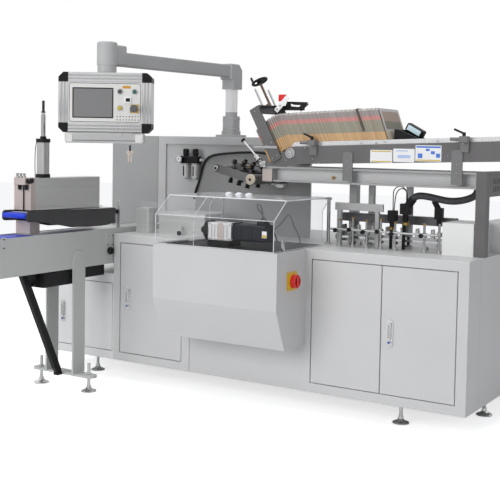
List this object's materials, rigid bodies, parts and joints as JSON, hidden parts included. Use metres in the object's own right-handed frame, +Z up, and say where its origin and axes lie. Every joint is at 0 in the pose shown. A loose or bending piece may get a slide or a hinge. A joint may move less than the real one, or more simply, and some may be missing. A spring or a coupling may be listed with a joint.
{
  "type": "automatic cartoning machine",
  "caption": "Box feeding and cartoning machine with inclined carton magazine, vacuum picker, guarded drive, cabinets, swing-arm control box and crosswise outfeed conveyor.",
  "frame": {"origin": "centre of the footprint at floor level", "axes": "+X along carton travel towards the magazine end, +Y from the operator side to the rear, +Z up"},
  "size_m": [2.925, 1.9, 1.814],
  "materials": {
    "cabinet_paint": "satin",
    "dark_paint": "satin",
    "frame_grey": "satin",
    "white_paint": "satin",
    "steel": "brushed",
    "bright": "polished",
    "alu": "satin",
    "black": "matte",
    "clear": "clear",
    "belt": "matte",
    "dark_belt": "matte",
    "board": "matte",
    "red": "gloss",
    "yellow": "gloss",
    "rubber": "matte"
  },
  "bodies": {
    "machine": {"air_unit": "black", "arm_post": "frame_grey", "back_plate": "dark_paint", "carton_stack": "board", "cover_boxes": "white_paint", "discharge_plate": "clear", "drive_box": "cabinet_paint", "end_frame": "dark_paint", "gearbox": "alu", "glue_heads": "black", "glue_hose": "rubber", "guard_posts": "bright", "head_plates": "dark_paint", "head_rods": "bright", "isolator_plate": "yellow", "left_cabinet": "cabinet_paint", "levelling_feet": "bright", "lift_column": "steel", "lift_cylinder": "alu", "low_cabinet": "cabinet_paint", "magazine_belt": "dark_belt", "magazine_fittings": "black", "magazine_frame": "frame_grey", "magazine_plates": "dark_paint", "magazine_strips": "steel", "middle_bay": "cabinet_paint", "outfeed_beam": "white_paint", "outfeed_belt": "belt", "outfeed_drive": "black", "outfeed_stand": "white_paint", "picker_shaft": "bright", "rear_housing": "cabinet_paint", "right_cabinet": "cabinet_paint", "servo_motor": "black", "stand_strut": "black", "steel_covers": "steel", "track_guides": "bright", "track_rails": "steel", "upper_belt": "belt", "upper_plates": "dark_paint"},
    "right_door_left": {"right_door_left_leaf": "cabinet_paint"},
    "right_door_right": {"right_door_right_leaf": "cabinet_paint", "right_door_lock": "bright"},
    "left_door": {"left_door": "cabinet_paint", "left_door_lock": "bright"},
    "low_door": {"low_door": "cabinet_paint", "low_door_lock": "bright"},
    "swing_arm": {"swing_arm": "frame_grey"},
    "control_box": {"control_box": "alu", "keyboard_ledge": "alu", "control_face": "alu", "control_buttons": "black", "box_corners": "black"},
    "stop_button": {"stop_button": "black"},
    "isolator": {"isolator_knob": "red"},
    "guard": {"clear_guard": "clear"},
    "handwheel": {"handwheel": "black"},
    "picker": {"picker_arm": "dark_paint", "suction_cups": "rubber"},
    "cylinder_rod": {"cylinder_rod": "bright"}
  },
  "joints": [
    {"name": "right_door_left_hinge", "type": "hinge", "parent": "machine", "child": "right_door_left", "pos_m": [0.2635, -0.041, 0.46], "axis": [0, 0, -1], "range_deg": [0, 80]},
    {"name": "right_door_right_hinge", "type": "hinge", "parent": "machine", "child": "right_door_right", "pos_m": [0.9795, -0.041, 0.46], "axis": [0, 0, 1], "range_deg": [0, 110]},
    {"name": "left_door_hinge", "type": "hinge", "parent": "machine", "child": "left_door", "pos_m": [-0.5345, -0.041, 0.46], "axis": [0, 0, 1], "range_deg": [0, 90]},
    {"name": "low_door_hinge", "type": "hinge", "parent": "machine", "child": "low_door", "pos_m": [-1.0065, -0.041, 0.345], "axis": [0, 0, 1], "range_deg": [0, 45]},
    {"name": "arm_swivel", "type": "hinge", "parent": "machine", "child": "swing_arm", "pos_m": [-0.6545, 0.6, 1.65], "axis": [0, 0, 1], "range_deg": [-5, 40]},
    {"name": "control_box_swivel", "type": "hinge", "parent": "swing_arm", "child": "control_box", "pos_m": [-0.75412, -0.39804, 1.698], "axis": [0, 0, 1], "range_deg": [-15, 60]},
    {"name": "stop_button_push", "type": "slide", "parent": "control_box", "child": "stop_button", "axis": [-0.5299, 0.848, 0], "range_m": [0, 0.006], "stiffness_N_per_m": 1500},
    {"name": "isolator_turn", "type": "hinge", "parent": "machine", "child": "isolator", "pos_m": [0.2245, -0.19, 0.668], "axis": [1, 0, 0], "range_deg": [0, 90]},
    {"name": "guard_lift", "type": "hinge", "parent": "machine", "child": "guard", "pos_m": [-0.1375, 0.256, 1.042], "axis": [-1, 0, 0], "range_deg": [0, 18]},
    {"name": "handwheel_turn", "type": "hinge", "parent": "machine", "child": "handwheel", "pos_m": [-0.2658, 0.2765, 1.6482], "axis": [-0.4772, 0, 0.8788], "continuous": true},
    {"name": "picker_swing", "type": "hinge", "parent": "machine", "child": "picker", "pos_m": [-0.2225, 0.25, 1.129], "axis": [0, 1, 0], "range_deg": [0, 40]},
    {"name": "cylinder_stroke", "type": "slide", "parent": "machine", "child": "cylinder_rod", "axis": [0, 0, -1], "range_m": [0, 0.09]}
  ]
}
